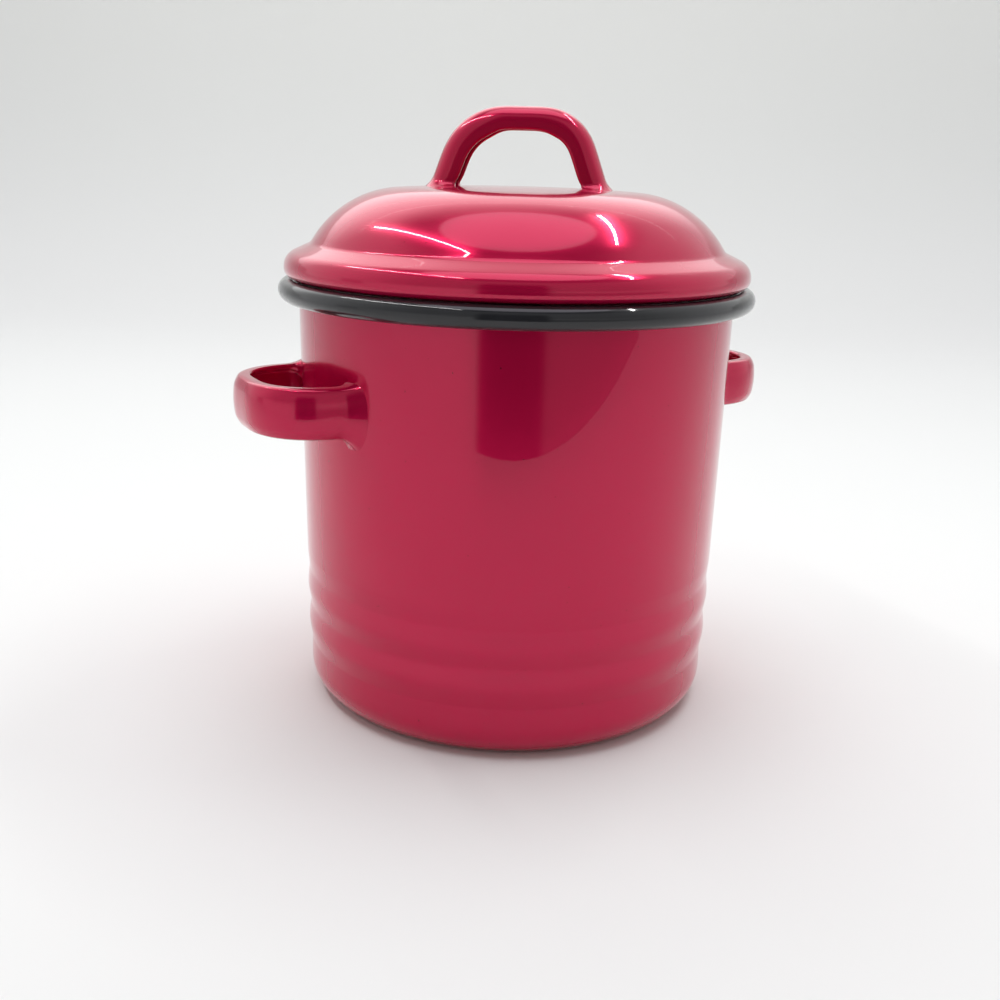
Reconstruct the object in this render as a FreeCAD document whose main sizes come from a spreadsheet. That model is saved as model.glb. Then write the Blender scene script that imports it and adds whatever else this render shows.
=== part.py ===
import FreeCAD, Part
import math
import os
import re

import Sketcher

# Enamelled steel grease container: a drawn pot with a rolled rim and two welded side
# handles, a drop-in strainer, and a lifting lid with a strap handle.
# Millimetres, +Z up. The origin is the centre of the base on the surface it stands on,
# the side handles lie on the X axis, and the front of the pot faces -Y.

Vector = FreeCAD.Vector
doc = FreeCAD.newDocument("GreaseContainer")

SIZES = [
    # Pot
    ("base_radius", 65.0, "outer radius of the wall, carried down to the base plane"),
    ("mouth_radius", 66.5, "outer radius of the wall at the rim"),
    ("rim_height", 128.0, "height of the centre of the rolled rim"),
    ("pot_wall", 1.0, "enamelled sheet of the pot"),
    ("base_corner", 9.5, "outer radius between wall and base"),
    ("foot_width", 5.5, "flat ring that the pot stands on"),
    ("base_recess", 1.6, "how far the middle of the base is raised"),
    ("rib_height", 34.6, "height of the crest of the top rib"),
    ("rib_pitch", 11.9, "from one crest to the next"),
    ("rib_swell", 0.45, "how far a crest's corner stands out of the plain wall"),
    ("rib_bend", 12.0, "outer bend of a crest"),
    ("groove_depth", 1.05, "how far a groove's corner lies inside the plain wall"),
    ("groove_bend", 3.0, "bend of a groove"),
    ("recess_bend", 2.5, "bends between the standing ring and the raised base"),
    ("recess_slope", 25.0, "angle at which the base rises inside that ring"),
    ("lip_reach", 2.4, "how far the wall's lip turns out inside the rim"),
    ("lip_bend", 1.4, "outer bend where the wall turns out"),
    # Rolled rim
    ("rim_radius", 3.25, "outer radius of the rolled rim's section"),
    ("rim_metal", 0.8, "sheet of the rolled rim"),
    ("rim_grip", 150.0, "angle at which each edge of the roll stops, from straight out"),
    ("rim_clearance", 0.1, "between the edge of the roll and the wall"),
    # Side handles
    ("grip_height", 98.3, "height of the middle of the side handles"),
    ("grip_standoff", 22.1, "from the wall to the outer face of a side handle"),
    ("grip_half_width", 22.8, "half the outer width across the legs, at the bar"),
    ("grip_splay", 2.0, "how much further apart the legs are at the wall"),
    ("grip_corner", 16.5, "outer radius of a side handle's corners"),
    ("grip_strap", 14.4, "height of the strap"),
    ("grip_depth", 4.8, "depth of the strap's channel"),
    ("grip_metal", 1.6, "enamelled sheet of the strap"),
    ("grip_edge", 2.2, "rounding of the strap's outer edges"),
    ("grip_foot_height", 20.5, "height of a foot where it is welded on"),
    ("grip_foot_width", 8.4, "width of a foot where it is welded on"),
    ("grip_foot_rise", 4.6, "how far from the wall a foot starts to flare"),
    ("flare_bite", 0.3, "how far inside the strap's faces a flare runs out"),
    # Strainer
    ("strainer_play", 0.6, "between the strainer's band and the inside of the pot"),
    ("strainer_metal", 0.6, "sheet of the strainer's frame"),
    ("strainer_depth", 27.0, "from the flange to the underside of the frame"),
    ("flange_inset", 2.5, "how far inside the middle of the rolled rim the flange ends"),
    ("strainer_seat", 0.3, "between the flange and the rolled rim under it"),
    ("strainer_ledge", 5.0, "width of the ledge that carries the net"),
    ("strainer_bend", 2.0, "outer bend between band and ledge"),
    ("flange_bend", 0.5, "inner bend between band and flange"),
    ("net_metal", 0.4, "sheet of the net"),
    ("net_pitch", 6.3, "from one gap of the net to the next"),
    ("net_gap", 4.9, "side of one square gap"),
    ("net_margin", 1.2, "between the outermost gaps and the ledge"),
    ("net_play", 0.6, "between the net's edge and the frame's bend"),
    ("ring_metal", 0.8, "thickness of the ring that holds the net down"),
    ("ring_width", 3.4, "width of that ring"),
    ("stack_gap", 0.05, "between pieces that lie on each other in the strainer"),
    # Lid
    ("lid_seat", 0.2, "between the lid's hem and the rolled rim under it"),
    ("lid_metal", 1.0, "enamelled sheet of the lid"),
    ("lid_overhang", 1.4, "how far the lid's bulge reaches past the middle of the rolled rim"),
    ("lid_crown", 27.4, "height of the crown above the hem"),
    ("crown_run", 30.8, "level width of the falling part of the crown"),
    ("crown_fall", 3.5, "angle at which the crown falls towards the shoulder"),
    ("crown_bend", 400.0, "radius of the crown's long curve"),
    ("flank_run", 10.1, "level width of the flank, from where it would meet the crown"),
    ("shoulder_bend", 33.0, "radius of the shoulder's curve"),
    ("neck_inset", 0.3, "how far inside the skirt's outer face the flank's crease lies"),
    ("neck_rise", 10.0, "height of that crease above the hem"),
    ("neck_bend", 2.2, "bend in that crease"),
    ("bulge_height", 6.3, "height above the hem where the bulge's top and side would meet"),
    ("bulge_bend", 5.0, "upper bend of the bulge"),
    ("hem_bend", 2.7, "lower bend of the bulge"),
    ("hem_width", 5.4, "how far the hem turns in under the bulge"),
    ("hem_lift", 2.2, "how far the hem's raw edge is turned up"),
    ("hem_edge_bend", 1.6, "bend at which the hem's raw edge turns up"),
    # Locating skirt under the lid
    ("skirt_play", 0.8, "between the skirt and the strainer's band"),
    ("skirt_metal", 0.8, "sheet of the skirt"),
    ("skirt_drop", 7.0, "how far the skirt reaches below the hem"),
    ("skirt_edge", 1.4, "how far the skirt's lower edge turns in"),
    ("skirt_bend", 1.2, "outer bend of that edge"),
    ("weld_gap", 0.05, "between the skirt's top edge and the sheet it is welded to"),
    # Lid handle
    ("lid_turn", -33.0, "how far the lid is turned from the side handles at rest"),
    ("knob_height", 22.9, "from the crown to the top of the lid handle"),
    ("knob_top_half", 18.4, "half the outer width where top and legs would meet"),
    ("knob_foot_half", 26.9, "half the outer width at the crown"),
    ("knob_inner_top", 6.7, "thickness of the handle at its top"),
    ("knob_inner_leg", 8.2, "thickness of a leg at the crown, measured level"),
    ("knob_corner", 14.5, "outer radius of the lid handle's corners"),
    ("knob_inner_corner", 10.5, "inner radius of the lid handle's corners"),
    ("knob_strap", 13.6, "width of the lid handle's strap"),
    ("knob_metal", 1.7, "enamelled sheet of the lid handle"),
    ("knob_edge", 2.6, "rounding of the lid handle's outer edges"),
    ("knob_foot_flare", 2.6, "how far a foot spreads on the crown"),
    ("knob_foot_rise", 2.4, "height at which a foot starts to spread"),
]

sheet = doc.addObject("Spreadsheet::Sheet", "Sizes")
for row, (alias, value, meaning) in enumerate(SIZES, start=1):
    sheet.set("A%d" % row, alias)
    sheet.set("B%d" % row, str(value))
    sheet.set("C%d" % row, meaning)
    sheet.setAlias("B%d" % row, alias)
doc.recompute()

SIZE_NAMES = {alias for alias, value, meaning in SIZES}


def bind(text):
    """An expression with the sheet's name before every size in it."""
    def with_sheet(match):
        word = match.group()
        return "Sizes." + word if word in SIZE_NAMES else word
    return re.sub(r"[a-z_]+", with_sheet, text)


def value_of(text):
    """The number that an expression gives."""
    return float(sheet.evalExpression(text))


# Places that several pieces share, as expressions on the sheet
LIP_HEIGHT = "(rim_height - pot_wall / 2)"
RIM_CENTRE = "(mouth_radius + rim_clearance + rim_radius * cos(180 - rim_grip))"
RIM_TOP = "(rim_height + rim_radius)"
HEM = "(%s + lid_seat)" % RIM_TOP
CROWN = "(%s + lid_crown)" % HEM
FLANGE_RADIUS = "(%s - flange_inset)" % RIM_CENTRE
FLANGE_HEIGHT = "(rim_height + sqrt(rim_radius * rim_radius - flange_inset * flange_inset) + strainer_seat)"
STRAINER_BASE = "(%s - strainer_depth)" % FLANGE_HEIGHT
NET_HEIGHT = "(%s + strainer_metal + stack_gap)" % STRAINER_BASE


def wall_radius(height):
    """Outer radius of the pot's plain wall at a height."""
    return "(base_radius + (mouth_radius - base_radius) * %s / rim_height)" % height


# The strainer's band clears the wall where the pot is narrower, at its foot or at the mouth
NARROWEST = "min(%s; mouth_radius)" % wall_radius("(rim_height - strainer_depth)")
BAND_RADIUS = "(%s - pot_wall - strainer_play)" % NARROWEST
NET_RADIUS = "(%s - strainer_bend - net_play)" % BAND_RADIUS
SKIRT_RADIUS = "(%s - strainer_metal - skirt_play)" % BAND_RADIUS
LID_RADIUS = "(%s + lid_overhang)" % RIM_CENTRE
NECK_RADIUS = "(%s - neck_inset)" % SKIRT_RADIUS
SHOULDER_RADIUS = "(%s - flank_run)" % NECK_RADIUS
BULGE_FALL = "((neck_rise - bulge_height) / (%s - %s))" % (LID_RADIUS, NECK_RADIUS)


def bound_constraint(sketch, constraint, text):
    """Add a constraint with a size, and bind that size to the sheet."""
    number = sketch.addConstraint(constraint)
    sketch.setExpression("Constraints[%d]" % number, bind(text))


def fix_point(sketch, geometry, position, x, y):
    """Hold a point of a sketch at two expressions, measured from the sketch's origin."""
    for kind, text, axis in (("DistanceX", x, -2), ("DistanceY", y, -1)):
        if text == "0":
            sketch.addConstraint(Sketcher.Constraint("PointOnObject", geometry, position, axis))
        else:
            limit = Sketcher.Constraint(kind, -1, 1, geometry, position, value_of(text))
            bound_constraint(sketch, limit, text)


def draw_outline(sketch, corners, closed):
    """Draw straight runs through corners, each corner rounded by its own bend.

    A corner is three expressions: x, y and bend, where a bend of "0" stays sharp. Rounded
    corners keep a construction point where their two runs would meet."""
    count = len(corners)
    places = [Vector(value_of(x), value_of(y), 0) for x, y, bend in corners]
    bends = [value_of(bend) for x, y, bend in corners]
    if not closed:
        bends[0] = bends[-1] = 0.0
    run_count = count if closed else count - 1
    leave = list(places)
    arrive = list(places)
    middles = [None] * count
    for i in range(count):
        if bends[i] <= 0:
            continue
        before = (places[i] - places[i - 1]).normalize()
        after = (places[(i + 1) % count] - places[i]).normalize()
        turn = before.getAngle(after)
        reach = bends[i] * math.tan(turn / 2)
        arrive[i] = places[i] - before * reach
        leave[i] = places[i] + after * reach
        inward = (after - before).normalize()
        middles[i] = places[i] + inward * (bends[i] / math.cos(turn / 2) - bends[i])
    runs = []
    for i in range(run_count):
        runs.append(sketch.addGeometry(Part.LineSegment(leave[i], arrive[(i + 1) % count])))
    for i in range(count):
        run_in = runs[i - 1] if closed or i > 0 else None
        run_out = runs[i] if i < run_count else None
        x, y, bend = corners[i]
        if middles[i] is None:
            if run_out is not None:
                fix_point(sketch, run_out, 1, x, y)
                if run_in is not None:
                    sketch.addConstraint(Sketcher.Constraint("Coincident", run_in, 2, run_out, 1))
            else:
                fix_point(sketch, run_in, 2, x, y)
            continue
        arc = sketch.addGeometry(Part.Arc(arrive[i], middles[i], leave[i]))
        corner = sketch.addGeometry(Part.Point(places[i]), True)
        fix_point(sketch, corner, 1, x, y)
        starts_here = sketch.getPoint(arc, 1).distanceToPoint(arrive[i]) < 1e-6
        first, last = (1, 2) if starts_here else (2, 1)
        for run in (run_in, run_out):
            sketch.addConstraint(Sketcher.Constraint("PointOnObject", corner, 1, run))
        sketch.addConstraint(Sketcher.Constraint("Tangent", run_in, 2, arc, first))
        sketch.addConstraint(Sketcher.Constraint("Tangent", arc, last, run_out, 1))
        bound_constraint(sketch, Sketcher.Constraint("Radius", arc, bends[i]), bend)
    return runs


UPRIGHT = FreeCAD.Placement(Vector(0, 0, 0), FreeCAD.Rotation(Vector(1, 0, 0), 90))


def upright_sketch(name):
    """A sketch in the plane of X and Z, whose y is the height."""
    sketch = doc.addObject("Sketcher::SketchObject", name)
    sketch.Placement = UPRIGHT
    return sketch


def spin(label, source):
    """Turn a section once round the Z axis."""
    spun = doc.addObject("Part::Revolution", label)
    spun.Source = source
    spun.Solid = True
    spun.Base = Vector(0, 0, 0)
    spun.Axis = Vector(0, 0, 1)
    spun.Angle = 360
    spun.Label = label
    return spun


def spun_sheet(label, sketch, thickness, side):
    """Thicken an open outline to one side, left +1 or right -1, and spin it."""
    section = doc.addObject("Part::Offset2D", label + "_section")
    section.Source = sketch
    section.Mode = "Skin"
    section.Join = "Arc"
    section.Fill = True
    section.Value = side * value_of(thickness)
    section.setExpression("Value", bind("%d * %s" % (side, thickness)))
    return spin(label, section)


# Pot: one drawn sheet from the raised base, round the standing ring and up over the
# ribs to a lip that turns out inside the rolled rim
standing_ring = "(base_radius - base_corner - foot_width)"
recess_run = "(base_recess / tan(recess_slope))"
pot_corners = [
    ("0", "base_recess", "0"),
    (standing_ring + " - " + recess_run, "base_recess", "recess_bend"),
    (standing_ring, "0", "recess_bend"),
    ("base_radius", "0", "base_corner"),
]
RIB_COUNT = 2
for k in range(RIB_COUNT, -1, -1):
    groove_height = "(rib_height - %d * rib_pitch + rib_pitch / 2)" % k
    depth = "groove_depth" if k else "groove_depth / 2"
    pot_corners.append((wall_radius(groove_height) + " - " + depth, groove_height, "groove_bend"))
    if k:
        crest_height = "(rib_height - %d * rib_pitch)" % (k - 1)
        pot_corners.append((wall_radius(crest_height) + " + rib_swell", crest_height, "rib_bend"))
plain_start = "(rib_height + rib_pitch * 0.85)"
pot_corners += [
    (wall_radius(plain_start), plain_start, "rib_bend"),
    (wall_radius(LIP_HEIGHT), LIP_HEIGHT, "lip_bend"),
    ("mouth_radius + lip_reach", LIP_HEIGHT, "0"),
]
pot_outline = upright_sketch("pot_outline")
draw_outline(pot_outline, pot_corners, closed=False)
pot_body = spun_sheet("pot_body", pot_outline, "pot_wall", 1)

# Rolled rim: a C-shaped ring closed over the lip, open towards the pot
rim_outline = upright_sketch("rim_outline")
centre_x = value_of(RIM_CENTRE)
centre_y = value_of("rim_height")
grip = math.radians(value_of("rim_grip"))
circle = Part.Circle(Vector(centre_x, centre_y, 0), Vector(0, 0, 1), value_of("rim_radius"))
roll = rim_outline.addGeometry(Part.ArcOfCircle(circle, -grip, grip))
fix_point(rim_outline, roll, 3, RIM_CENTRE, "rim_height")
bound_constraint(rim_outline, Sketcher.Constraint("Radius", roll, value_of("rim_radius")), "rim_radius")
for position, sign in ((1, "-"), (2, "+")):
    end_height = "rim_height %s rim_radius * sin(rim_grip)" % sign
    limit = Sketcher.Constraint("DistanceY", -1, 1, roll, position, value_of(end_height))
    bound_constraint(rim_outline, limit, end_height)
rim_band = spun_sheet("rim_band", rim_outline, "rim_metal", 1)

# What the side handles are trimmed by: the plain wall, filled
wall_fill = doc.addObject("Part::Cone", "wall_fill")
wall_fill.setExpression("Radius1", bind("base_radius"))
wall_fill.setExpression("Radius2", bind("mouth_radius"))
wall_fill.setExpression("Height", bind("rim_height"))

# Strainer frame: flange over the rim, band, and a ledge for the net
strainer_outline = upright_sketch("strainer_outline")
draw_outline(strainer_outline, [
    (FLANGE_RADIUS, FLANGE_HEIGHT, "0"),
    (BAND_RADIUS, FLANGE_HEIGHT, "flange_bend"),
    (BAND_RADIUS, STRAINER_BASE, "strainer_bend"),
    (BAND_RADIUS + " - strainer_bend - strainer_ledge", STRAINER_BASE, "0"),
], closed=False)
strainer_frame = spun_sheet("strainer_frame", strainer_outline, "strainer_metal", -1)


def square_net(label, radius, opening_radius, pitch, gap, height, thickness):
    """A round net: one face with every square gap that lies wholly inside a circle."""
    half = gap / 2
    rows = int(opening_radius / pitch) + 1
    rim = Part.makeCircle(radius, Vector(0, 0, height))
    wires = [Part.Wire(rim)]
    for i in range(-rows, rows + 1):
        for j in range(-rows, rows + 1):
            x, y = i * pitch, j * pitch
            if math.hypot(abs(x) + half, abs(y) + half) > opening_radius:
                continue
            ends = [(-half, -half), (half, -half), (half, half), (-half, half), (-half, -half)]
            wires.append(Part.makePolygon([Vector(x + a, y + b, height) for a, b in ends]))
    print("gaps in the net:", len(wires) - 1)
    piece = doc.addObject("Part::Feature", label)
    piece.Label = label
    piece.Shape = Part.Face(wires, "Part::FaceMakerBullseye").extrude(Vector(0, 0, thickness))
    return piece


ledge_radius = value_of(BAND_RADIUS + " - strainer_bend - strainer_ledge")
strainer_net = square_net("strainer_net", value_of(NET_RADIUS), ledge_radius - value_of("net_margin"),
                          value_of("net_pitch"), value_of("net_gap"), value_of(NET_HEIGHT),
                          value_of("net_metal"))

# Ring that holds the net down on its ledge
ring_base = "(%s + net_metal + stack_gap)" % NET_HEIGHT
ring_outline = upright_sketch("ring_outline")
draw_outline(ring_outline, [
    (NET_RADIUS + " - ring_width", ring_base, "0"),
    (NET_RADIUS, ring_base, "0"),
    (NET_RADIUS, ring_base + " + ring_metal", "0"),
    (NET_RADIUS + " - ring_width", ring_base + " + ring_metal", "0"),
], closed=True)
strainer_ring = spin("strainer_ring", ring_outline)

# Lid: one pressed sheet from the crown over the shoulder to the neck, out over the
# hollow bulge and in again as a hem that rests on the rolled rim
crown_corners = [
    ("0", CROWN, "0"),
    (SHOULDER_RADIUS + " - crown_run", CROWN, "crown_bend"),
    (SHOULDER_RADIUS, CROWN + " - crown_run * tan(crown_fall)", "shoulder_bend"),
]
hem_end = LID_RADIUS + " - hem_width"
lid_outline = upright_sketch("lid_outline")
draw_outline(lid_outline, crown_corners + [
    (NECK_RADIUS, HEM + " + neck_rise", "neck_bend"),
    (LID_RADIUS, HEM + " + bulge_height", "bulge_bend"),
    (LID_RADIUS, HEM, "hem_bend"),
    (hem_end, HEM, "hem_edge_bend"),
    (hem_end + " - hem_lift / 2", HEM + " + hem_lift", "0"),
], closed=False)
lid_shell = spun_sheet("lid_shell", lid_outline, "lid_metal", -1)

# What the lid handle is trimmed by: everything under the lid's outer surface
under_lid_outline = upright_sketch("under_lid_outline")
draw_outline(under_lid_outline, crown_corners + [
    (NECK_RADIUS, HEM + " + neck_rise", "0"),
    (NECK_RADIUS, HEM, "0"),
    ("0", HEM, "0"),
], closed=True)
under_lid = spin("under_lid", under_lid_outline)

# Locating skirt: a strip welded under the crease of the lid that drops inside the strainer
skirt_top = ("(%s + neck_rise - neck_inset * %s - lid_metal * sqrt(1 + %s * %s) - weld_gap)"
             % (HEM, BULGE_FALL, BULGE_FALL, BULGE_FALL))
skirt_base = "(%s - skirt_drop)" % HEM
skirt_outline = upright_sketch("skirt_outline")
draw_outline(skirt_outline, [
    (SKIRT_RADIUS + " - skirt_edge", skirt_base, "0"),
    (SKIRT_RADIUS, skirt_base, "skirt_bend"),
    (SKIRT_RADIUS, skirt_top, "0"),
], closed=False)
lid_skirt = spun_sheet("lid_skirt", skirt_outline, "skirt_metal", 1)


def plane_of(body, role):
    """One of a body's own origin planes, found by its role."""
    return next(f for f in body.Origin.OriginFeatures if f.Role == role)


def sketch_on(body, name, role, offset="0"):
    """A sketch on an origin plane of its body, moved along that plane's normal."""
    sketch = body.newObject("Sketcher::SketchObject", name)
    sketch.AttachmentSupport = [(plane_of(body, role), "")]
    sketch.MapMode = "FlatFace"
    if offset != "0":
        sketch.setExpression("AttachmentOffset.Base.z", bind(offset))
    return sketch


def mirror_corners(corners):
    """The same corners on the other side of the sketch's upright axis, in reverse order."""
    return [("-(%s)" % x, y, bend) for x, y, bend in reversed(corners)]


def bent_strap(name, plane, width, edge, outer, inner):
    """A body with the solid form of a bent strap: padded to its width, outer edges rounded.

    outer and inner are half outlines, from a foot to the corner of the grip."""
    body = doc.addObject("PartDesign::Body", name)
    outline = sketch_on(body, name + "_outline", plane)
    outer = outer + mirror_corners(outer)
    inner = inner + mirror_corners(inner)
    runs = draw_outline(outline, outer + inner[::-1], closed=True)
    pad = body.newObject("PartDesign::Pad", name + "_pad")
    pad.Profile = outline
    pad.SideType = "Symmetric"
    pad.setExpression("Length", bind(width))
    doc.recompute()
    normal = outline.Placement.Rotation.multVec(Vector(0, 0, 1))
    outer_runs = [outline.Geometry[number] for number in runs[:len(outer) - 1]]
    middles = [outline.Placement.multVec((run.StartPoint + run.EndPoint) / 2) for run in outer_runs]
    chosen = []
    for number, border in enumerate(pad.Shape.Edges, start=1):
        first, last = border.ParameterRange
        middle = border.valueAt((first + last) / 2)
        level = middle.dot(normal)
        flat = middle - normal * level
        if abs(level) > 1e-6 and any(flat.distanceToPoint(m) < 1e-4 for m in middles):
            chosen.append("Edge%d" % number)
    fillet = body.newObject("PartDesign::Fillet", name + "_edges")
    fillet.Base = (pad, chosen)
    fillet.setExpression("Radius", bind(edge))
    doc.recompute()
    return body


def flared_feet(body, name, role, edge, levels):
    """Widen both ends of a strap towards their feet, in steps between rectangles.

    levels holds, from the foot up, an offset along the plane's normal and the rectangle's
    outer side, inner side and half width. The rectangle's outer corners are rounded."""
    steps = []
    for number in range(len(levels) - 1):
        sections = []
        for offset, out, into, half in levels[number:number + 2]:
            section = sketch_on(body, "%s_section" % name, role, offset)
            draw_outline(section, [
                ("-(%s)" % out, "-(%s)" % half, edge),
                ("-(%s)" % into, "-(%s)" % half, "0"),
                ("-(%s)" % into, half, "0"),
                ("-(%s)" % out, half, edge),
            ], closed=True)
            sections.append(section)
        doc.recompute()
        step = body.newObject("PartDesign::AdditiveLoft", "%s_step" % name)
        step.Profile = (sections[0], [""])
        step.Sections = [(sections[1], [""])]
        step.Ruled = True
        doc.recompute()
        steps.append(step)
    other = body.newObject("PartDesign::Mirrored", name + "_other_foot")
    other.Originals = steps
    other.MirrorPlane = (plane_of(body, "YZ_Plane"), [""])
    body.Tip = other
    doc.recompute()


def cut_channel(body, name, plane, depth, hollow):
    """Hollow a strap from its inner side, so that a web and two flanges are left.

    hollow is a half outline along the web's inner face."""
    before = body.Shape.Volume
    inside = sketch_on(body, name + "_inside", plane)
    draw_outline(inside, hollow + mirror_corners(hollow), closed=True)
    pocket = body.newObject("PartDesign::Pocket", name + "_channel")
    pocket.Profile = inside
    pocket.SideType = "Symmetric"
    pocket.setExpression("Length", bind(depth))
    body.Tip = pocket
    doc.recompute()
    if before - body.Shape.Volume <= 0:
        raise RuntimeError("the channel of %s cuts nothing" % name)


def trimmed(label, body, tool):
    """A piece cut to the surface that it stands on."""
    cut = doc.addObject("Part::Cut", label)
    cut.Base = body
    cut.Tool = tool
    cut.Label = label
    return cut


# Side handles: sketched with x along the wall and y away from the pot
grip_wall = wall_radius("grip_height")
grip_face = "(%s + grip_standoff)" % grip_wall
grip_root = "(base_radius - grip_standoff / 2)"
foot_line = "sqrt(%s * %s - grip_half_width * grip_half_width)" % (grip_wall, grip_wall)
flare_line = "(%s + grip_foot_rise)" % foot_line


def grip_leg(distance):
    """Half the outer width across a side handle's legs, at a distance from the pot's axis."""
    return "(grip_half_width + grip_splay * (%s - %s) / grip_standoff)" % (grip_face, distance)


foot_out = "(%s + (grip_foot_width - grip_depth) / 2)" % grip_leg(foot_line)
foot_in = "(%s - grip_foot_width)" % foot_out


def side_handle(label, turn):
    """One side handle: a channel bent to a flat arch, with a widened foot at each end."""
    name = label + "_strap"
    bar_inside = "(%s - grip_depth)" % grip_face
    body = bent_strap(name, "XY_Plane", "grip_strap", "grip_edge", [
        ("-" + grip_leg(grip_root), grip_root, "0"),
        ("-grip_half_width", grip_face, "grip_corner"),
    ], [
        ("-(%s - grip_depth)" % grip_leg(grip_root), grip_root, "0"),
        ("-(%s - grip_depth)" % grip_leg(bar_inside), bar_inside, "grip_corner - grip_depth"),
    ])
    flared_feet(body, name, "XZ_Plane", "grip_edge", [
        ("-" + grip_root, foot_out, foot_in, "grip_foot_height / 2"),
        ("-" + foot_line, foot_out, foot_in, "grip_foot_height / 2"),
        ("-" + flare_line, grip_leg(flare_line) + " - flare_bite",
         grip_leg(flare_line) + " - grip_depth + flare_bite", "grip_strap / 2 - flare_bite"),
    ])
    web_inside = "(%s - grip_metal)" % grip_face
    cut_channel(body, name, "XY_Plane", "grip_strap - 2 * grip_metal", [
        ("-(%s - grip_metal)" % grip_leg(grip_root), grip_root + " - grip_metal", "0"),
        ("-(%s - grip_metal)" % grip_leg(web_inside), web_inside, "grip_corner - grip_metal"),
    ])
    body.Placement = FreeCAD.Placement(Vector(0, 0, value_of("grip_height")),
                                       FreeCAD.Rotation(Vector(0, 0, 1), turn))
    body.setExpression("Placement.Base.z", bind("grip_height"))
    return trimmed(label, body, wall_fill)


side_handle_right = side_handle("side_handle_right", -90)
side_handle_left = side_handle("side_handle_left", 90)

# Lid handle: sketched with x along the arch and y upwards
knob_lean = "((knob_foot_half - knob_top_half) / knob_height)"
knob_web = "(knob_metal * sqrt(1 + %s * %s))" % (knob_lean, knob_lean)
knob_top = "(%s + knob_height)" % CROWN
knob_root = "(%s - knob_foot_rise)" % CROWN


def knob_leg(height):
    """Half the outer width across the lid handle's legs at a height."""
    return "(knob_top_half + %s * (%s - %s))" % (knob_lean, knob_top, height)


inner_top = "(%s - knob_inner_top)" % knob_top
lid_strap = bent_strap("lid_handle_strap", "XZ_Plane", "knob_strap", "knob_edge", [
    ("-" + knob_leg(knob_root), knob_root, "0"),
    ("-knob_top_half", knob_top, "knob_corner"),
], [
    ("-(%s - knob_inner_leg)" % knob_leg(knob_root), knob_root, "0"),
    ("-(%s - knob_inner_leg)" % knob_leg(inner_top), inner_top, "knob_inner_corner"),
])
knob_flare = "(%s + knob_foot_rise)" % CROWN
wide_foot = ("%s + knob_foot_flare" % knob_leg(CROWN), "%s - knob_inner_leg - knob_foot_flare / 3"
             % knob_leg(CROWN), "knob_strap / 2 + knob_foot_flare")
flared_feet(lid_strap, "lid_handle_strap", "XY_Plane", "knob_edge", [
    (knob_root,) + wide_foot,
    (CROWN,) + wide_foot,
    (knob_flare, knob_leg(knob_flare) + " - flare_bite",
     knob_leg(knob_flare) + " - knob_inner_leg + flare_bite", "knob_strap / 2 - flare_bite"),
])
knob_ceiling = "(%s - knob_metal)" % knob_top
knob_below = "(%s - knob_metal)" % knob_root
cut_channel(lid_strap, "lid_handle_strap", "XZ_Plane", "knob_strap - 2 * knob_metal", [
    ("-(%s - %s)" % (knob_leg(knob_below), knob_web), knob_below, "0"),
    ("-(%s - %s)" % (knob_leg(knob_ceiling), knob_web), knob_ceiling, "knob_corner - knob_metal"),
])
lid_strap.Placement = FreeCAD.Placement(Vector(0, 0, 0),
                                        FreeCAD.Rotation(Vector(0, 0, 1), value_of("lid_turn")))
lid_strap.setExpression("Placement.Rotation.Angle", bind("lid_turn"))
lid_handle = trimmed("lid_handle", lid_strap, under_lid)

doc.recompute()
for item in doc.Objects:
    if "Invalid" in item.State or "Error" in item.State:
        raise RuntimeError("%s is not computed: %s" % (item.Label, item.State))

NODES = (pot_body, rim_band, side_handle_left, side_handle_right, strainer_frame, strainer_net,
         strainer_ring, lid_shell, lid_skirt, lid_handle)
os.makedirs("parts", exist_ok=True)
for node in NODES:
    shape = node.Shape
    if shape.isNull() or not shape.isValid() or len(shape.Solids) != 1:
        raise RuntimeError("%s is not one valid solid" % node.Label)
    box = shape.optimalBoundingBox()
    print("%-18s %9.1f mm3  x %7.2f %7.2f  y %7.2f %7.2f  z %7.2f %7.2f" % (
        node.Label, shape.Volume, box.XMin, box.XMax, box.YMin, box.YMax, box.ZMin, box.ZMax))
    shape.exportStep("parts/%s.step" % node.Label)
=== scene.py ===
"""Looks of an enamelled steel grease container: red pot and lid, black rolled rim, steel strainer."""
import math

import bpy
import numpy as np
from mathutils import Matrix, Vector


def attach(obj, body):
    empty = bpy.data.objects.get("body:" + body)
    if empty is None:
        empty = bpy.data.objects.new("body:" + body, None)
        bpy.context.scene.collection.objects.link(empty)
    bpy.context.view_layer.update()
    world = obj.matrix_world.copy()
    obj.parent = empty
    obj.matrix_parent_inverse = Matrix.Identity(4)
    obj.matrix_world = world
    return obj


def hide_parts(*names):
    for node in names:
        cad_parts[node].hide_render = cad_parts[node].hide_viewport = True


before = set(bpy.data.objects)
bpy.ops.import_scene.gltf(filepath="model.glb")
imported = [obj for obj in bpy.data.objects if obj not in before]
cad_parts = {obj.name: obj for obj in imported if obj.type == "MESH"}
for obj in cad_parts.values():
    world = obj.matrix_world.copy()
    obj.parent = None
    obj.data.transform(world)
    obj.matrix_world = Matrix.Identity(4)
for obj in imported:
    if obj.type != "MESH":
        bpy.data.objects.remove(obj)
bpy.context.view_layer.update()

MM = 0.001

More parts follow.
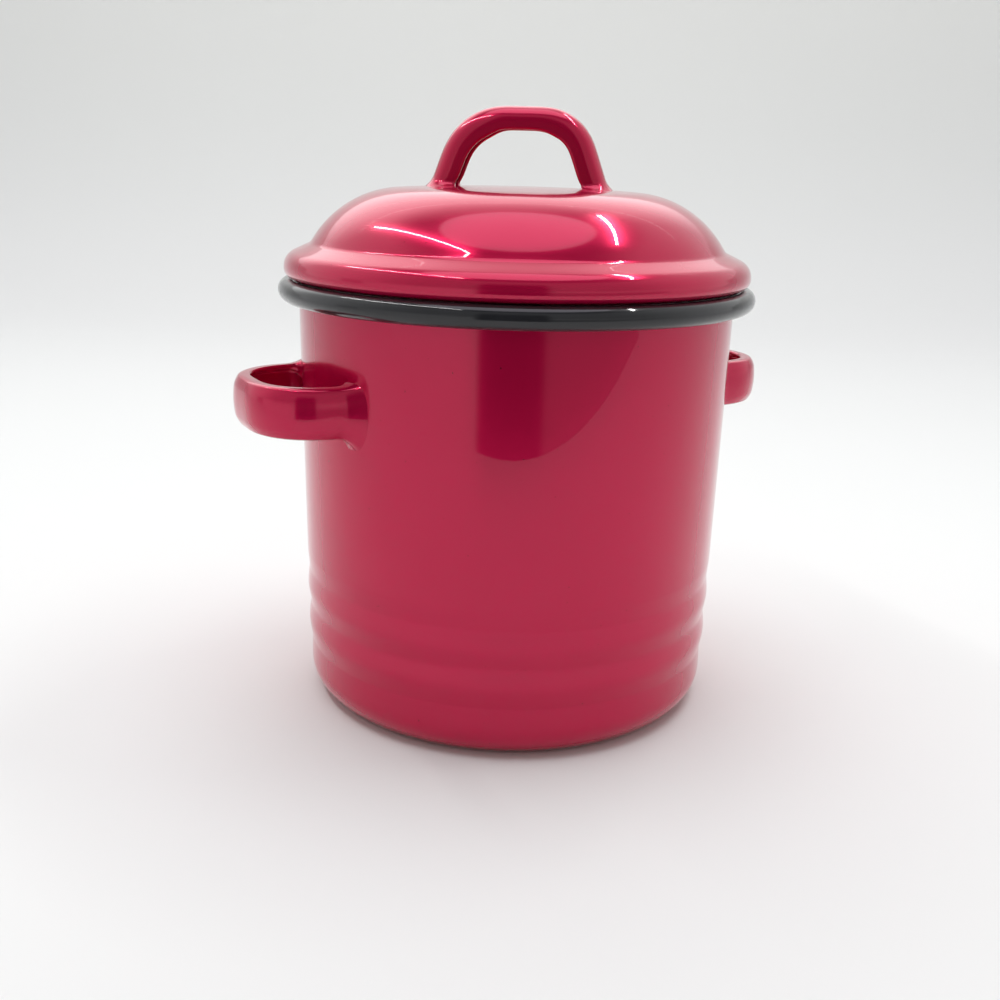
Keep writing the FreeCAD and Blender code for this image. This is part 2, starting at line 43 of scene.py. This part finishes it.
# Sizes in millimetres and angles in degrees, those of the CAD part where both show the same form.
WALL_AT_FLOOR = 65.0
WALL_GAIN = 1.5
RIM_HEIGHT = 128.0
RIM_CENTRE = 69.41
RIM_BEAD = 3.23
RIM_SHEET = 0.8
RIM_OPEN_FROM = 150
SHEET = 1.0
BASE_RISE = 1.6
GROOVES = (16.75, 28.65)
CRESTS = (22.7, 34.6)
LAST_GROOVE = 40.55
PLAIN_FROM = 46.0
LIP_HEIGHT = 127.5
CROWN = 158.85
HEM_RADIUS = 70.81
HEM_HEIGHT = 131.45
GRIP_HEIGHT = 98.3
GRIP_REACH = 88.25
LID_TURN = -33.0
FOOT_SUNK = 0.12
COLUMNS = 320
CAMERA_TURN = -29.0


# Shader helpers.
class Socket:
    """A shader value that takes part in sums and products through math nodes."""

    def __init__(self, tree, link):
        self.tree = tree
        self.link = link

    def math(self, operation, *others):
        """One math node on this value and the others."""
        node = self.tree.nodes.new("ShaderNodeMath")
        node.operation = operation
        for slot, value in enumerate((self,) + others):
            put(self.tree, node.inputs[slot], value)
        return Socket(self.tree, node.outputs[0])

    def __add__(self, other):
        return self.math("ADD", other)

    def __radd__(self, other):
        return self.math("ADD", other)

    def __sub__(self, other):
        return self.math("SUBTRACT", other)

    def __rsub__(self, other):
        return constant(self.tree, other).math("SUBTRACT", self)

    def __mul__(self, other):
        return self.math("MULTIPLY", other)

    def __rmul__(self, other):
        return self.math("MULTIPLY", other)


def put(tree, socket, value):
    """Feed a shader input from a Socket, a number or a colour."""
    if isinstance(value, Socket):
        tree.links.new(value.link, socket)
    elif isinstance(value, (tuple, list)) and len(value) == 3 and socket.type == "RGBA":
        socket.default_value = (*value, 1.0)
    else:
        socket.default_value = value


def constant(tree, number):
    """A plain number as a Socket."""
    node = tree.nodes.new("ShaderNodeValue")
    node.outputs[0].default_value = number
    return Socket(tree, node.outputs[0])


def add_node(tree, kind, settings=None, output=0, **inputs):
    """Any other node: its type, its settings, then its inputs by name."""
    node = tree.nodes.new(kind)
    for name, value in (settings or {}).items():
        setattr(node, name, value)
    for name, value in inputs.items():
        put(tree, node.inputs[name.replace("_", " ")], value)
    return Socket(tree, node.outputs[output])


def blend_colours(tree, share, first, second):
    """Colour that goes from first to second as share goes from 0 to 1."""
    node = tree.nodes.new("ShaderNodeMix")
    node.data_type = "RGBA"
    put(tree, node.inputs[0], share)
    put(tree, node.inputs[6], first)
    put(tree, node.inputs[7], second)
    return Socket(tree, node.outputs[2])


def ramp(value, low, high):
    """Smooth step of a value from 0 at low to 1 at high."""
    return add_node(value.tree, "ShaderNodeMapRange", {"interpolation_type": "SMOOTHSTEP"}, Value=value,
                    From_Min=low, From_Max=high)


class Finish:
    """A material with one principled shader, fed from the object's own coordinates."""

    def __init__(self, name, **constants):
        self.material = bpy.data.materials.new(name)
        self.material.use_nodes = True
        self.tree = self.material.node_tree
        self.tree.nodes.clear()
        self.shader = self.tree.nodes.new("ShaderNodeBsdfPrincipled")
        output = self.tree.nodes.new("ShaderNodeOutputMaterial")
        self.tree.links.new(self.shader.outputs[0], output.inputs[0])
        self.place = add_node(self.tree, "ShaderNodeTexCoord", output=3)
        for key, value in constants.items():
            self.set(key.replace("_", " "), value)

    def set(self, name, value):
        """Feed one input of the shader."""
        put(self.tree, self.shader.inputs[name], value)

    def noise(self, scale, detail=2.0, roughness=0.5, place=None):
        """Cloudy noise from 0 to 1, with scale features to a metre."""
        return add_node(self.tree, "ShaderNodeTexNoise", Vector=place or self.place, Scale=scale,
                        Detail=detail, Roughness=roughness)

    def coordinate(self, axis):
        """One coordinate of the object's own place, in metres."""
        node = self.tree.nodes.new("ShaderNodeSeparateXYZ")
        put(self.tree, node.inputs[0], self.place)
        return Socket(self.tree, node.outputs["XYZ".index(axis)])

    def relief(self, height, strength, distance):
        """Bump that stands distance, in metres, times the height above the surface."""
        self.set("Normal", add_node(self.tree, "ShaderNodeBump", Height=height, Strength=strength,
                                    Distance=distance))


def red_enamel():
    """Glossy red porcelain enamel: coloured sheen under a clear skin, orange peel, rare dark specks."""
    finish = Finish("red porcelain enamel", Metallic=0.42, Roughness=0.20, Specular_IOR_Level=0.12,
                    Coat_Weight=0.66, Coat_Roughness=0.02, Coat_IOR=1.5)
    deep_red, bright_red, speck = (0.500, 0.0008, 0.048), (0.555, 0.0016, 0.060), (0.05, 0.002, 0.006)
    body = blend_colours(finish.tree, finish.noise(scale=22.0, detail=3.0), deep_red, bright_red)
    dots = ramp(finish.noise(scale=900.0, detail=1.0, roughness=0.4), 0.80, 0.82)
    finish.set("Base Color", blend_colours(finish.tree, dots * 0.8, body, speck))
    peel = finish.noise(scale=55.0) + finish.noise(scale=240.0) * 0.12
    finish.relief(peel, strength=0.3, distance=0.0003)
    return finish


def black_enamel():
    """Glossy black enamel of the rolled rim, a little greyer in patches."""
    finish = Finish("black rim enamel", Roughness=0.3, Coat_Weight=0.8, Coat_Roughness=0.05,
                    Specular_IOR_Level=0.1)
    deep_black, worn_black = (0.006, 0.006, 0.008), (0.022, 0.022, 0.026)
    clouds = finish.noise(scale=60.0, detail=4.0)
    finish.set("Base Color", blend_colours(finish.tree, clouds, deep_black, worn_black))
    finish.relief(finish.noise(scale=160.0, detail=3.0), strength=0.4, distance=0.0002)
    return finish


def strainer_steel():
    """Pressed steel sheet with fine drawing marks round its axis."""
    finish = Finish("pressed strainer steel", Metallic=1.0)
    across = add_node(finish.tree, "ShaderNodeMapping", {"vector_type": "POINT"}, Vector=finish.place,
                      Scale=(30.0, 30.0, 2600.0))
    marks = finish.noise(scale=1.0, detail=3.0, place=across)
    clouds = finish.noise(scale=30.0, detail=3.0)
    grey, pale_grey = (0.50, 0.50, 0.49), (0.66, 0.66, 0.65)
    finish.set("Base Color", blend_colours(finish.tree, clouds, grey, pale_grey))
    finish.set("Roughness", 0.24 + marks * 0.16)
    finish.relief(marks, strength=0.25, distance=0.00008)
    return finish


# Outlines.
def rounded_path(corners, step, run):
    """Points along straight runs whose corners (x, y, bend) are rounded to the bend's radius.

    Each arc starts and ends where a circle of that radius touches both runs. Points lie at most
    step apart on the arcs and run apart between them, and no arc turns more than about 5 degrees
    from one point to the next."""
    widest_turn = 0.09
    places = np.array([c[:2] for c in corners], float)
    points = [places[:1]]
    for i in range(1, len(corners) - 1):
        before = places[i] - places[i - 1]
        after = places[i + 1] - places[i]
        before /= np.linalg.norm(before)
        after /= np.linalg.norm(after)
        bend = corners[i][2]
        turn = math.atan2(before[0] * after[1] - before[1] * after[0], float(before @ after))
        if bend <= 0 or abs(turn) < 1e-6:
            points.append(places[i:i + 1])
            continue
        side = math.copysign(1.0, turn)
        start = places[i] - before * bend * math.tan(abs(turn) / 2)
        centre = start + side * bend * np.array([-before[1], before[0]])
        count = max(3, int(math.ceil(abs(turn) * bend / step)), int(abs(turn) / widest_turn))
        spoke = start - centre
        quarter_on = np.array([-spoke[1], spoke[0]])
        angles = np.linspace(0, turn, count + 1)[:, None]
        points.append(centre + np.cos(angles) * spoke + np.sin(angles) * quarter_on)
    points.append(places[-1:])
    return evenly(np.vstack(points), run)


def evenly(points, step):
    """Add points on runs longer than step, so that every quad stays small."""
    rows = [points[:1]]
    for a, b in zip(points[:-1], points[1:]):
        count = max(1, int(math.ceil(np.linalg.norm(b - a) / step)))
        rows.append(a + (b - a) * np.arange(1, count + 1)[:, None] / count)
    return np.vstack(rows)


def side_of(points, distance):
    """The path moved to its left by a distance, each point along the mean of its two normals."""
    steps = np.diff(points, axis=0)
    steps /= np.maximum(np.linalg.norm(steps, axis=1), 1e-12)[:, None]
    normals = np.stack([-steps[:, 1], steps[:, 0]], 1)
    mean = np.vstack([normals[:1], normals[:-1] + normals[1:], normals[-1:]])
    mean /= np.linalg.norm(mean, axis=1)[:, None]
    return points + mean * distance


def sheet_section(outline, thickness, side, round_start=False):
    """Closed section of a bent sheet: the outline, a rounded raw edge, and its other side."""
    other = side_of(outline, side * thickness)
    parts = [outline, half_round(outline[-1], other[-1], outline[-1] - outline[-2])]
    parts.append(other[::-1])
    if round_start:
        parts.append(half_round(other[0], outline[0], outline[0] - outline[1]))
    return np.vstack(parts)


def half_round(a, b, ahead):
    """Points of a half circle from a to b that bulges ahead: the sheet's raw edge, seen end on."""
    centre = (a + b) / 2
    spoke = a - centre
    ahead = ahead / np.linalg.norm(ahead) * np.linalg.norm(spoke)
    turns = np.linspace(0, math.pi, 9)[1:-1, None]
    return centre + spoke * np.cos(turns) + ahead * np.sin(turns)


# Mesh building.
def add_piece(name, vertices, faces, body, nodes, finish):
    """Make a smooth mesh piece, attach it to the body that carries it and hide the CAD nodes it stands
    for.
    """
    mesh = bpy.data.meshes.new(name)
    mesh.from_pydata((vertices * MM).tolist(), [], facing_out(vertices, faces))
    mesh.validate()
    mesh.polygons.foreach_set("use_smooth", [True] * len(mesh.polygons))
    mesh.update()
    piece = bpy.data.objects.new(name, mesh)
    bpy.context.scene.collection.objects.link(piece)
    piece.data.materials.append(finish.material)
    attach(piece, body)
    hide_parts(*nodes)


def ring_faces(rows, columns, closed):
    """Quads between the rows of a grid whose columns meet again, and whose rows do too if closed."""
    row, column = np.meshgrid(np.arange(rows if closed else rows - 1), np.arange(columns), indexing="ij")
    beyond = (row + 1) % rows
    after = (column + 1) % columns
    quads = np.stack([row * columns + column, row * columns + after, beyond * columns + after,
                      beyond * columns + column], -1)
    return quads.reshape(-1, 4).tolist()


def spun(section, columns, closed):
    """Vertices and faces of a section (radius, height) turned about the Z axis.

    A point is (r cos a, r sin a, z). A section that starts and ends on the axis is closed there
    by fans, and any other is closed by its last row meeting its first."""
    angles = np.linspace(0, 2 * math.pi, columns, endpoint=False)
    rows = section if closed else section[1:-1]
    radius, height = rows[:, :1], rows[:, 1:]
    grid = np.stack([radius * np.cos(angles), radius * np.sin(angles), height + 0 * angles], -1)
    vertices = grid.reshape(-1, 3)
    faces = ring_faces(len(rows), columns, closed)
    if not closed:
        first = len(vertices)
        vertices = np.vstack([vertices, [[0, 0, section[0][1]]], [[0, 0, section[-1][1]]]])
        here = np.arange(columns)
        after = (here + 1) % columns
        last = (len(rows) - 1) * columns
        faces += np.stack([0 * here + first, after, here], -1).tolist()
        faces += np.stack([0 * here + first + 1, last + here, last + after], -1).tolist()
    return vertices, faces


def facing_out(vertices, faces):
    """Turn all faces round if the closed surface they bound has a negative volume."""
    fans = np.array([(f[0], f[m], f[m + 1]) for f in faces for m in range(1, len(f) - 1)])
    first, second, third = (vertices[fans[:, k]] for k in range(3))
    volume = float(np.sum(first * np.cross(second, third)))
    return [tuple(reversed(f)) for f in faces] if volume < 0 else faces


# Pot and rim.
def wall(height):
    """Outer radius of the pot's plain wall, which widens evenly from the floor to the rim."""
    return WALL_AT_FLOOR + WALL_GAIN * height / RIM_HEIGHT


def pot_outline():
    """Outer outline of the pot: raised base, standing ring, corner, soft ribs, wall and lip.

    The ribs are a zigzag about the plain wall, rounded so far that it becomes a wave."""
    groove_depth, crest_swell, last_depth = 0.62, 0.32, 0.40
    groove_bend, crest_bend, last_bend = 7.0, 12.0, 9.0
    raised_to, standing_from, lip_radius = 46.6, 50.0, 68.8
    base_bend, floor_bend, lip_bend = 2.5, 9.5, 1.4
    corners = [(0.0, BASE_RISE, 0), (raised_to, BASE_RISE, base_bend),
               (standing_from, 0.0, base_bend), (WALL_AT_FLOOR, 0.0, floor_bend)]
    for groove, crest in zip(GROOVES, CRESTS):
        corners.append((wall(groove) - groove_depth, groove, groove_bend))
        corners.append((wall(crest) + crest_swell, crest, crest_bend))
    corners.append((wall(LAST_GROOVE) - last_depth, LAST_GROOVE, last_bend))
    corners.append((wall(PLAIN_FROM), PLAIN_FROM, crest_bend))
    corners += [(wall(LIP_HEIGHT), LIP_HEIGHT, lip_bend), (lip_radius, LIP_HEIGHT, 0)]
    return rounded_path(corners, step=0.9, run=3.0)


def build_pot(finish):
    """The pot's sheet: its outer outline and the same outline moved inwards, turned about the axis."""
    section = sheet_section(pot_outline(), SHEET, 1)
    vertices, faces = spun(section, COLUMNS, closed=False)
    add_piece("pot_shell", vertices, faces, "pot", ["pot_body"], finish)


def build_rim(finish):
    """The rolled rim: an arc of a circle about the rim's centre, open on the side of the pot."""
    points_round = 61
    angles = np.radians(np.linspace(-RIM_OPEN_FROM, RIM_OPEN_FROM, points_round))
    outline = np.stack([RIM_CENTRE + RIM_BEAD * np.cos(angles), RIM_HEIGHT + RIM_BEAD * np.sin(angles)], 1)
    section = sheet_section(outline, RIM_SHEET, 1, round_start=True)
    vertices, faces = spun(section, COLUMNS, closed=True)
    add_piece("rolled_rim", vertices, faces, "pot", ["rim_band"], finish)


# Lid.
def lid_outline():
    """Outer outline of the lid: crown, shoulder, flank, crease, bulge, hem and raw edge.

    The crown's bend has a very large radius, so that the top is a shallow dome."""
    corners = [(0.0, CROWN, 0), (22.0, CROWN, 400.0), (52.78, 156.97, 33.0), (62.88, 141.45, 2.6),
               (HEM_RADIUS, 137.75, 5.0), (HEM_RADIUS, HEM_HEIGHT, 2.7), (65.41, HEM_HEIGHT, 1.6),
               (64.31, 133.65, 0)]
    return rounded_path(corners, step=0.8, run=2.0)


def build_lid(finish):
    """The lid's sheet: its outer outline and the same outline moved inwards, turned about the axis."""
    section = sheet_section(lid_outline(), SHEET, -1)
    vertices, faces = spun(section, COLUMNS, closed=False)
    add_piece("lid_sheet", vertices, faces, "lid", ["lid_shell"], finish)


# Bent straps.
def channel_section(depth, half_width, metal, edge, crown):
    """Closed section of a channel: x is away from the path's inside, y across the strap.

    The web's outer face stands crown proud in its middle as a parabola across the width."""
    lip = 0.45 * metal
    inner = edge - metal
    corners = [(-depth / 2, -half_width, 0), (0.0, -half_width, edge), (0.0, half_width, edge),
               (-depth, half_width, lip), (-depth, half_width - metal, lip),
               (-metal, half_width - metal, inner), (-metal, metal - half_width, inner),
               (-depth, metal - half_width, lip), (-depth, -half_width, lip),
               (-depth / 2, -half_width, 0)]
    points = rounded_path(corners, step=0.5, run=0.8)[:-1]
    fall = crown * np.clip(points[:, 1] / half_width, -1, 1) ** 2
    points[:, 0] -= fall * np.clip(1 + points[:, 0] / metal, 0, 1)
    return points


def outward(points):
    """Unit normals of a closed section, pointing away from its metal."""
    run = np.roll(points, -1, 0) - np.roll(points, 1, 0)
    run /= np.linalg.norm(run, axis=1)[:, None]
    following = np.roll(points, -1, 0)
    area = 0.5 * np.sum(points[:, 0] * following[:, 1] - following[:, 0] * points[:, 1])
    return np.stack([run[:, 1], -run[:, 0]], 1) * math.copysign(1.0, area)


def path_length(points):
    """Length of a path: the sum of its steps."""
    return float(np.sum(np.linalg.norm(np.diff(points, axis=0), axis=1)))


def stations(points, fine, coarse, reach):
    """Distances along a path: close together within reach of both ends, wider between them.

    Towards an end they grow as a power of their number, so that the last ones lie closest."""
    closing_power = 1.6
    length = path_length(points)
    near = reach * (np.linspace(0, 1, int(reach / fine) + 1) ** closing_power)
    middle = np.linspace(reach, length - reach, int((length - 2 * reach) / coarse) + 1)[1:-1]
    return np.concatenate([near, middle, length - near[::-1]]), length


def along(points, distances):
    """Places and left-hand normals at distances along a path, the run taken over a short stretch."""
    stretch = 0.4
    run = at_distances(points, distances + stretch) - at_distances(points, distances - stretch)
    run /= np.linalg.norm(run, axis=1)[:, None]
    return at_distances(points, distances), np.stack([-run[:, 1], run[:, 0]], 1)


def at_distances(points, distances):
    """Places at distances along a path."""
    steps = np.linalg.norm(np.diff(points, axis=0), axis=1)
    reached = np.concatenate([[0], np.cumsum(steps)])
    return np.stack([np.interp(distances, reached, points[:, k]) for k in (0, 1)], 1)


def strap_grid(path, section, foot, flare, depth_at, ground):
    """Points of a strap: its section carried along a path, flared and fitted to the ground at both ends.

    Near an end, at height t above the ground, each point moves out of the metal by flare times
    (1 - t / foot) to the flare power, as the sheet is pressed outwards there and enamel gathers in
    the corner. flare holds the moves of the web, of the lower edge and of the upper edge. ground
    gives for a point the height that the end has to meet."""
    flare_power = 2.3
    fitted = foot * 2.2
    distances, length = stations(path, fine=0.3, coarse=0.9, reach=fitted)
    place, normal = along(path, distances)
    push = outward(section)
    push[:, 0] *= flare[0]
    push[:, 1] *= np.where(push[:, 1] < 0, flare[1], flare[2])
    height = np.minimum(distances, length - distances)
    swell = np.maximum(0.0, 1 - height / foot) ** flare_power
    shape = section * np.stack([depth_at(place), np.ones(len(height))], -1)[:, None]
    shape = shape + push * swell[:, None, None]
    points = np.concatenate([place[:, None] + shape[..., :1] * normal[:, None], shape[..., 1:]], -1)
    fit = np.maximum(0.0, 1 - height / fitted)[:, None] ** 2
    points[..., 1] += fit * (ground(points) + height[:, None] - points[..., 1])
    return points


def tube_faces(rows, columns):
    """Quads of a closed tube and its two end caps."""
    last = (rows - 1) * columns
    caps = [list(reversed(range(columns))), list(range(last, last + columns))]
    return ring_faces(rows, columns, False) + caps


def arch_path(leg, root, top_half, top, bends, ease):
    """Outer line of an arch from foot to foot, its two corners rounded and then eased.

    Easing replaces each point by a raised-cosine average of the line over ease on both sides, so
    that the bends start and end softly. The line is carried on past its feet, which stay put."""
    step = 0.25
    line = rounded_path([(-leg, root, 0), (-top_half, top, bends[0]), (top_half, top, bends[1]),
                         (leg, root, 0)], step, step)
    length = path_length(line)
    line = at_distances(line, np.linspace(0, length, int(length / step) + 1))
    count = int(ease / step)
    longer = np.vstack([2 * line[0] - line[count:0:-1], line, 2 * line[-1] - line[-2:-count - 2:-1]])
    weights = 1 + np.cos(np.linspace(-math.pi, math.pi, 2 * count + 1))
    weights /= weights.sum()
    return np.stack([np.convolve(longer[:, k], weights, "valid") for k in (0, 1)], 1)


def build_side_handle(name, node, side, finish):
    """One side handle, sketched with x along the wall, y away from the pot and z upwards."""
    path = arch_path(leg=24.97, root=61.3, top_half=22.8, top=GRIP_REACH, bends=(20.0, 20.0), ease=6.0)
    section = channel_section(depth=5.2, half_width=7.2, metal=1.6, edge=3.2, crown=1.0)

    def even_depth(place):
        """The channel is equally deep all along."""
        return np.ones(len(place))

    def pot_wall(points):
        """Distance of the wall from the axis plane, seen along y, a little sunk into the metal."""
        radius = wall(GRIP_HEIGHT + points[..., 2])
        return np.sqrt(radius ** 2 - points[..., 0] ** 2) - FOOT_SUNK

    grid = strap_grid(path, section, foot=6.2, flare=(2.4, 3.8, 1.1), depth_at=even_depth,
                      ground=pot_wall)
    along_wall, away, up = grid.reshape(-1, 3).T
    vertices = np.stack([side * away, -side * along_wall, up + GRIP_HEIGHT], 1)
    faces = tube_faces(*grid.shape[:2])
    add_piece(name, vertices, faces, "pot", [node], finish)


def build_lid_handle(finish):
    """The lid's handle, sketched with x along its arch and y upwards, then turned with the lid.

    The channel is shallower along the top: its depth eases with a smooth step of the distance
    from the middle."""
    deep, shallow, gain = 7.7, 6.7, 1.05
    level_half, easing_run = 3.0, 11.0
    path = arch_path(leg=26.9, root=CROWN - 0.1, top_half=18.4, top=CROWN + 22.9,
                     bends=(20.0, 16.5), ease=5.0)
    section = channel_section(deep, half_width=6.8, metal=1.7, edge=4.9, crown=0.3)
    outline = lid_outline()
    outer = outline[: int(np.argmax(outline[:, 0]))]

    def lid_surface(points):
        """Height of the lid's outer side under each point, a little sunk into the metal."""
        return np.interp(np.hypot(points[..., 0], points[..., 2]), outer[:, 0], outer[:, 1]) - FOOT_SUNK

    def eased_depth(place):
        """Share of the full depth: shallow along the top and growing by gain towards the legs."""
        share = np.clip((np.abs(place[:, 0]) - level_half) / easing_run, 0, 1)
        return (shallow + gain * share * share * (3 - 2 * share)) / deep

    grid = strap_grid(path, section, foot=3.4, flare=(1.6, 2.0, 2.0), depth_at=eased_depth,
                      ground=lid_surface)
    run, up, beside = grid.reshape(-1, 3).T
    c, s = math.cos(math.radians(LID_TURN)), math.sin(math.radians(LID_TURN))
    vertices = np.stack([c * run + s * beside, s * run - c * beside, up], 1)
    faces = tube_faces(*grid.shape[:2])
    add_piece("lid_grip", vertices, faces, "lid", ["lid_handle"], finish)


# Stage, light and camera.
def stage_axes():
    """Level directions away from the camera and across its view."""
    c, s = math.cos(math.radians(CAMERA_TURN)), math.sin(math.radians(CAMERA_TURN))
    return np.array([-s, c, 0.0]), np.array([c, s, 0.0])


def build_stage():
    """Pale floor that sweeps up behind the object, in metres along the camera's own direction.

    Its line is level, then a quarter circle, then upright, and is carried sideways."""
    front, bend_from, bend, top, half_width = -0.39, 0.75, 0.5, 0.62, 2.2
    turns = np.linspace(0, math.pi / 2, 25)
    distances = np.concatenate([[front], bend_from + bend * np.sin(turns), [bend_from + bend]])
    heights = np.concatenate([[0.0], bend - bend * np.cos(turns), [top]])
    away, across = stage_axes()
    line = distances[:, None] * away + heights[:, None] * np.array([0.0, 0.0, 1.0])
    vertices = np.stack([line - across * half_width, line + across * half_width], 1).reshape(-1, 3)
    first = 2 * np.arange(len(line) - 1)
    faces = np.stack([first, first + 1, first + 3, first + 2], 1)
    mesh = bpy.data.meshes.new("Sweep")
    mesh.from_pydata(vertices.tolist(), [], faces.tolist())
    mesh.polygons.foreach_set("use_smooth", [True] * len(mesh.polygons))
    sweep = bpy.data.objects.new("Sweep", mesh)
    bpy.context.scene.collection.objects.link(sweep)
    finish = Finish("pale sweep", Roughness=0.9)
    # Painted shade and painted light: the colour is darker on the floor and paler up the backdrop to set
    # their brightness under the lamps, with a little random tone from the noise.
    painted_light_and_tone = ramp(finish.coordinate("Z"), 0.1, 0.7) * 0.85 + finish.noise(scale=1.5) * 0.15
    floor_colour_with_painted_shade, backdrop_colour_with_painted_light = (0.80, 0.815, 0.79), (0.94, 0.935, 0.915)
    finish.set("Base Color", blend_colours(finish.tree, painted_light_and_tone, floor_colour_with_painted_shade, backdrop_colour_with_painted_light))
    mesh.materials.append(finish.material)


def direction(azimuth, elevation):
    """Unit vector towards an azimuth counted from -Y towards +X, and an elevation."""
    a, e = math.radians(azimuth), math.radians(elevation)
    return np.array([math.sin(a) * math.cos(e), -math.cos(a) * math.cos(e), math.sin(e)])


def placed(right, up, back, place):
    """Matrix of an object that stands at place, with these three directions as its own axes."""
    return Matrix([[right[k], up[k], back[k], place[k]] for k in range(3)] + [[0, 0, 0, 1]])


def add_strip(name, start, end, width, power, aim):
    """A long narrow lamp from start to end that faces the point aim."""
    light = bpy.data.lights.new(name, "AREA")
    light.shape = "RECTANGLE"
    light.size = float(np.linalg.norm(end - start))
    light.size_y = width
    light.energy = power
    lamp = bpy.data.objects.new(name, light)
    bpy.context.scene.collection.objects.link(lamp)
    place = (start + end) / 2
    right = (end - start) / light.size
    back = place - aim
    back -= right * (right @ back)
    back /= np.linalg.norm(back)
    up = np.cross(back, right)
    lamp.matrix_world = placed(right, up, back, place)


def build_world():
    """A white tent: bright walls, a darker ceiling with a pale round vent, and a dimmer front.

    Every patch is a smooth step of the height of a direction or of its nearness to another one.
    Each dark patch takes its own share off the level, and the vent and the glow at the back add
    to it."""
    walls, under_dim, ceiling_dim, front_dim = 0.90, 0.60, 0.75, 0.45
    wide_dim, thin_dim, vent_level = 0.88, 0.45, 1.9
    wall_colour, vent_colour = (0.985, 1.0, 0.995), (0.94, 0.90, 1.0)
    world = bpy.data.worlds.new("Tent")
    bpy.context.scene.world = world
    world.use_nodes = True
    tree = world.node_tree
    tree.nodes.clear()
    way = add_node(tree, "ShaderNodeTexCoord")
    height = Socket(tree, add_node(tree, "ShaderNodeSeparateXYZ", Vector=way).link.node.outputs[2])

    def vector_math(operation, vector, fixed=None, output=0):
        """One vector math node on a linked vector and, if given, a fixed one."""
        result = add_node(tree, "ShaderNodeVectorMath", {"operation": operation}, output, Vector=vector)
        if fixed is not None:
            result.link.node.inputs[1].default_value = tuple(fixed)
        return result

    def nearness(azimuth, elevation):
        """Cosine of the angle to a direction."""
        return vector_math("DOT_PRODUCT", way, direction(azimuth, elevation), output=1)

    def beside(azimuth):
        """Cosine of the angle to an azimuth, whatever the height."""
        level_way = vector_math("NORMALIZE", vector_math("MULTIPLY", way, (1, 1, 0)))
        return vector_math("DOT_PRODUCT", level_way, direction(azimuth, 0), output=1)

    ceiling = ramp(height, 0.70, 0.86)
    vent = ramp(height, 0.90, 0.918)
    rear_glow = ramp(nearness(160, 34), 0.74, 0.97) * (1 - vent)
    under = (1 - ramp(height, -0.12, 0.04)) * ramp(beside(0), 0.66, 0.72)
    wide_gap = ramp(beside(-30), 0.945, 0.972) * ramp(0 - height, -0.75, -0.45)
    thin_gap = ramp(beside(-112), 0.9905, 0.996) * ramp(0 - height, -0.2, 0.0)
    front = ramp(nearness(-29, 14), 0.05, 0.75) * ramp(height, -0.02, 0.12)
    level = (1 - under * under_dim) * (1 - ceiling * ceiling_dim)
    level = level * (1 - wide_gap * wide_dim) * (1 - thin_gap * thin_dim)
    level = level * (1 - front * front_dim) * walls + vent * vent_level + rear_glow
    background = tree.nodes.new("ShaderNodeBackground")
    put(tree, background.inputs["Color"], blend_colours(tree, vent, wall_colour, vent_colour))
    put(tree, background.inputs["Strength"], level)
    output = tree.nodes.new("ShaderNodeOutputWorld")
    tree.links.new(background.outputs[0], output.inputs[0])


def build_lamps():
    """Two thin strips over the lid, left and right of the view, and a lamp aimed at the backdrop."""
    lid = np.array([0, 0, 0.14])
    above_lid = 0.5

    def overhead(azimuth, elevation):
        """Point at the strips' height in a direction from the lid."""
        way_up = direction(azimuth, elevation)
        return lid + way_up * above_lid / way_up[2]

    left, right = (overhead(-150, 40.8), overhead(-62, 54.7)), (overhead(113, 57.9), overhead(52, 53.8))
    add_strip("Left strip", *left, width=0.009, power=1.0, aim=lid)
    add_strip("Right strip", *right, width=0.012, power=0.9, aim=lid)
    away, across = stage_axes()
    half_length = 0.9
    hang = away * 0.60 + np.array([0, 0, 0.90])
    backdrop = away * 1.25 + np.array([0, 0, 0.30])
    add_strip("Backdrop wash", hang - across * half_length, hang + across * half_length,
              width=0.10, power=2.6, aim=backdrop)


def build_camera():
    """Camera in front of the pot and a little above its rim, at the photograph's viewing angle.

    It looks almost at the pot's axis: yaw, pitch and roll, in radians, are small turns from level."""
    sensor = 36.0
    focal_share = 1.1367
    frame_shift = (0.0083, 0.0164)
    distance, height = 0.3578, 0.1639
    yaw, pitch, roll = -0.016, 0.297, -0.026
    data = bpy.data.cameras.new("Camera")
    data.sensor_width = sensor
    data.lens = focal_share * sensor
    data.shift_x, data.shift_y = frame_shift
    data.clip_start = 0.01
    camera = bpy.data.objects.new("Camera", data)
    bpy.context.scene.collection.objects.link(camera)
    look = np.array([math.sin(yaw) * math.cos(pitch), math.cos(yaw) * math.cos(pitch), -math.sin(pitch)])
    level = np.array([math.cos(yaw), -math.sin(yaw), 0.0])
    down = np.cross(look, level)
    right = math.cos(roll) * level + math.sin(roll) * down
    low = -math.sin(roll) * level + math.cos(roll) * down
    turned = Matrix.Rotation(math.radians(CAMERA_TURN), 3, "Z")
    right, up, back = (turned @ Vector(v) for v in (right, -low, -look))
    away, _ = stage_axes()
    camera.matrix_world = placed(right, up, back, height * np.array([0.0, 0.0, 1.0]) - away * distance)
    bpy.context.scene.camera = camera


# The object.
enamel = red_enamel()
rim_enamel = black_enamel()
steel = strainer_steel()

build_pot(enamel)
build_rim(rim_enamel)
build_side_handle("right_side_grip", "side_handle_right", 1, enamel)
build_side_handle("left_side_grip", "side_handle_left", -1, enamel)
build_lid(enamel)
build_lid_handle(enamel)
for node, finish in (("lid_skirt", enamel), ("strainer_frame", steel), ("strainer_net", steel),
                     ("strainer_ring", steel)):
    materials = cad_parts[node].data.materials
    materials.clear()
    materials.append(finish.material)

build_stage()
build_world()
build_lamps()
build_camera()
bpy.context.scene.view_settings.view_transform = "Standard"
